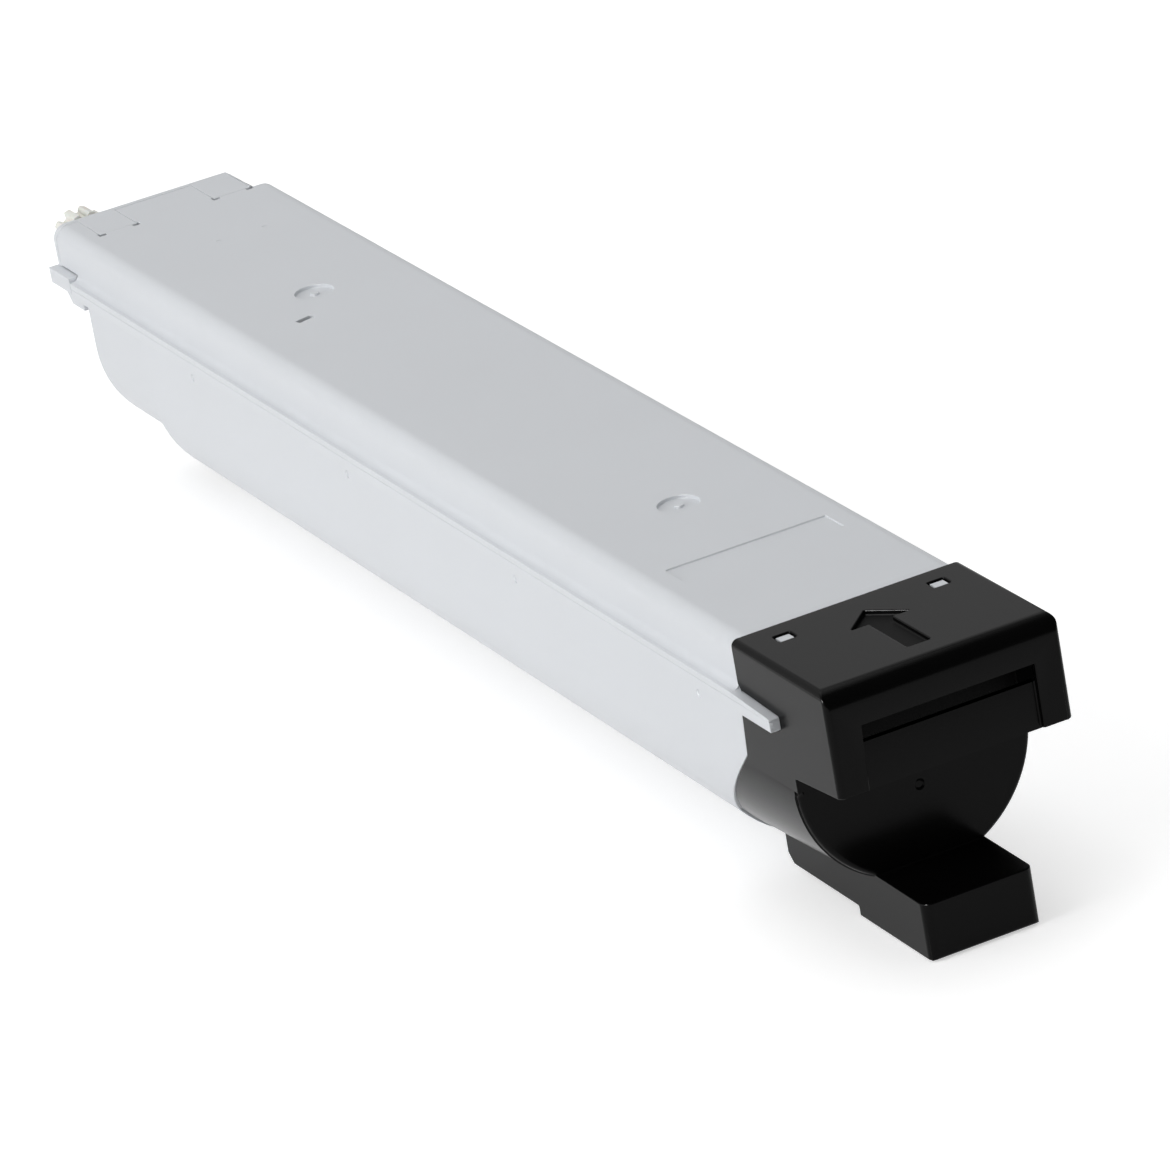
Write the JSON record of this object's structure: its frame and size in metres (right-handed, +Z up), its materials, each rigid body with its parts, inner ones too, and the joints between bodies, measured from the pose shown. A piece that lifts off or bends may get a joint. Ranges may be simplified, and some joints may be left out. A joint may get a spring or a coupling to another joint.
{
  "type": "toner cartridge",
  "caption": "Long office colour-printer toner cartridge: pale grey tub with welded cover and side rails, gloss black front cap with finger hood, cream drive gear and bottom shutter at the rear.",
  "frame": {"origin": "middle of the bounding box, at its bottom, level with the underside of the front cap's tongue", "axes": "+X across the cartridge, to the right as seen by the person who pushes it in; +Y along its length to the driven rear end, the way it slides into the machine; +Z up, out of the top cover"},
  "size_m": [0.0804, 0.5742, 0.089],
  "materials": {
    "grey_plastic": "fine satin mould texture",
    "black_plastic": "gloss black moulding",
    "white_plastic": "natural acetal",
    "cream_plastic": "natural acetal, cream",
    "clear_film": "milky polyester film",
    "dark_foam": "fine foam",
    "board": "green solder mask",
    "gold_plate": "gold plate",
    "zinc_steel": "zinc plated"
  },
  "bodies": {
    "shell": {"top_cover": "grey_plastic", "tub": "grey_plastic", "front_cap": "black_plastic", "rear_cover": "grey_plastic", "fill_plug": "white_plastic", "drive_bush": "white_plastic", "agitator_bush": "white_plastic", "agitator_seal": "dark_foam", "agitator_front_bush": "white_plastic", "auger_bush": "white_plastic", "auger_seal": "dark_foam", "auger_front_bush": "white_plastic", "outlet_seal": "dark_foam", "memory_chip": "board", "chip_contacts": "gold_plate", "cover_screws": "zinc_steel", "vent_filter": "dark_foam"},
    "agitator": {"agitator_shaft": "white_plastic", "agitator_film": "clear_film", "agitator_gear": "white_plastic"},
    "auger": {"auger": "white_plastic", "auger_gear": "white_plastic"},
    "drive": {"drive_gear": "cream_plastic", "drive_pinion": "white_plastic"},
    "shutter": {"shutter": "black_plastic"}
  },
  "joints": [
    {"name": "agitator_spin", "type": "hinge", "parent": "shell", "child": "agitator", "pos_m": [0, 0, 0.05873], "axis": [0, 1, 0], "continuous": true},
    {"name": "auger_spin", "type": "hinge", "parent": "shell", "child": "auger", "pos_m": [0, 0, 0.02623], "axis": [0, 1, 0], "continuous": true},
    {"name": "drive_spin", "type": "hinge", "parent": "shell", "child": "drive", "pos_m": [-0.0231, 0, 0.0794], "axis": [0, 1, 0], "continuous": true},
    {"name": "shutter_slide", "type": "slide", "parent": "shell", "child": "shutter", "axis": [0, -1, 0], "range_m": [0, 0.016]}
  ],
  "couplings": [
    {"joint": "auger_spin", "follows": "agitator_spin", "ratio": -3.3333},
    {"joint": "drive_spin", "follows": "agitator_spin", "ratio": -4.1667}
  ]
}
